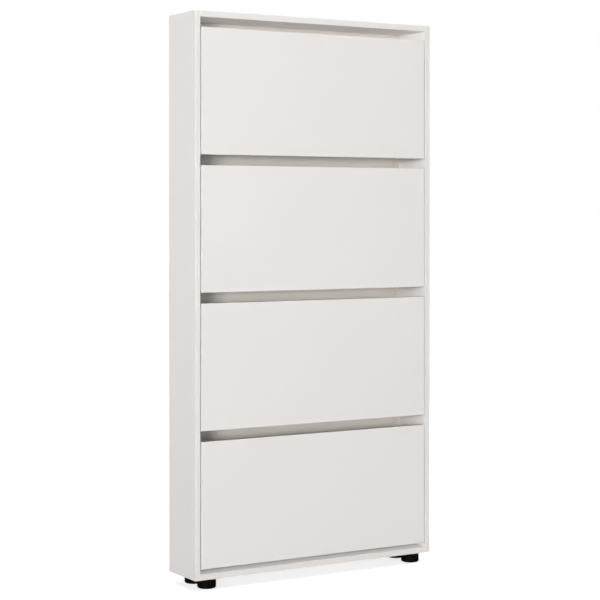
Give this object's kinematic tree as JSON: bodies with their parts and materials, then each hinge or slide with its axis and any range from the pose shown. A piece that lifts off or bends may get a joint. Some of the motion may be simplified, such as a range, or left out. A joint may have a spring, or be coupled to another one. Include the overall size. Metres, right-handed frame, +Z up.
{
  "type": "shoe cabinet",
  "caption": "Tall, narrow and shallow tilt-out shoe cabinet of white boards, with plain full-width flaps that tip forward on pins, finger gaps between them and small round black feet.",
  "frame": {"origin": "on the floor at the middle of the cabinet's footprint, under the feet", "axes": "+X along the width to the right as seen from the front, +Y from the front to the rear, +Z up; the flaps face -Y"},
  "size_m": [0.75, 0.15, 1.516],
  "materials": {
    "white_board": "white melamine face with a fine satin texture",
    "back_board": "thin white-lacquered hardboard",
    "tray_board": "white painted fibreboard",
    "beech": "fluted beech dowel",
    "white_plastic": "moulded, finely textured",
    "black_plastic": "moulded, finely textured",
    "grey_rubber": "matte",
    "zinc_steel": "bright zinc plate"
  },
  "bodies": {
    "carcass": {"left_side_panel": "white_board", "right_side_panel": "white_board", "top_panel": "white_board", "bottom_panel": "white_board", "top_rail": "white_board", "upper_rail": "white_board", "middle_rail": "white_board", "lower_rail": "white_board", "upper_back_sheet": "back_board", "lower_back_sheet": "back_board", "back_sheet_nails": "zinc_steel", "cam_locks": "zinc_steel", "cam_bolts": "zinc_steel", "dowels": "beech", "pivot_bushes": "white_plastic", "open_stop_pegs": "grey_rubber", "closed_stop_pegs": "grey_rubber", "front_left_foot": "black_plastic", "front_right_foot": "black_plastic", "rear_left_foot": "black_plastic", "rear_right_foot": "black_plastic", "foot_screws": "zinc_steel", "left_wall_bracket": "zinc_steel", "right_wall_bracket": "zinc_steel", "bracket_screws": "zinc_steel"},
    "flap_1": {"flap_1_front": "white_board", "flap_1_left_cheek": "white_plastic", "flap_1_right_cheek": "white_plastic", "flap_1_heel_shelf": "tray_board", "flap_1_tray_back": "tray_board", "flap_1_pivot_pins": "zinc_steel", "flap_1_cheek_screws": "zinc_steel"},
    "flap_2": {"flap_2_front": "white_board", "flap_2_left_cheek": "white_plastic", "flap_2_right_cheek": "white_plastic", "flap_2_heel_shelf": "tray_board", "flap_2_tray_back": "tray_board", "flap_2_pivot_pins": "zinc_steel", "flap_2_cheek_screws": "zinc_steel"},
    "flap_3": {"flap_3_front": "white_board", "flap_3_left_cheek": "white_plastic", "flap_3_right_cheek": "white_plastic", "flap_3_heel_shelf": "tray_board", "flap_3_tray_back": "tray_board", "flap_3_pivot_pins": "zinc_steel", "flap_3_cheek_screws": "zinc_steel"},
    "flap_4": {"flap_4_front": "white_board", "flap_4_left_cheek": "white_plastic", "flap_4_right_cheek": "white_plastic", "flap_4_heel_shelf": "tray_board", "flap_4_tray_back": "tray_board", "flap_4_pivot_pins": "zinc_steel", "flap_4_cheek_screws": "zinc_steel"}
  },
  "joints": [
    {"name": "flap_1_tilt", "type": "hinge", "parent": "carcass", "child": "flap_1", "pos_m": [0, -0.051, 1.195], "axis": [1, 0, 0], "range_deg": [0, 38]},
    {"name": "flap_2_tilt", "type": "hinge", "parent": "carcass", "child": "flap_2", "pos_m": [0, -0.051, 0.833], "axis": [1, 0, 0], "range_deg": [0, 38]},
    {"name": "flap_3_tilt", "type": "hinge", "parent": "carcass", "child": "flap_3", "pos_m": [0, -0.051, 0.471], "axis": [1, 0, 0], "range_deg": [0, 38]},
    {"name": "flap_4_tilt", "type": "hinge", "parent": "carcass", "child": "flap_4", "pos_m": [0, -0.051, 0.109], "axis": [1, 0, 0], "range_deg": [0, 38]}
  ]
}
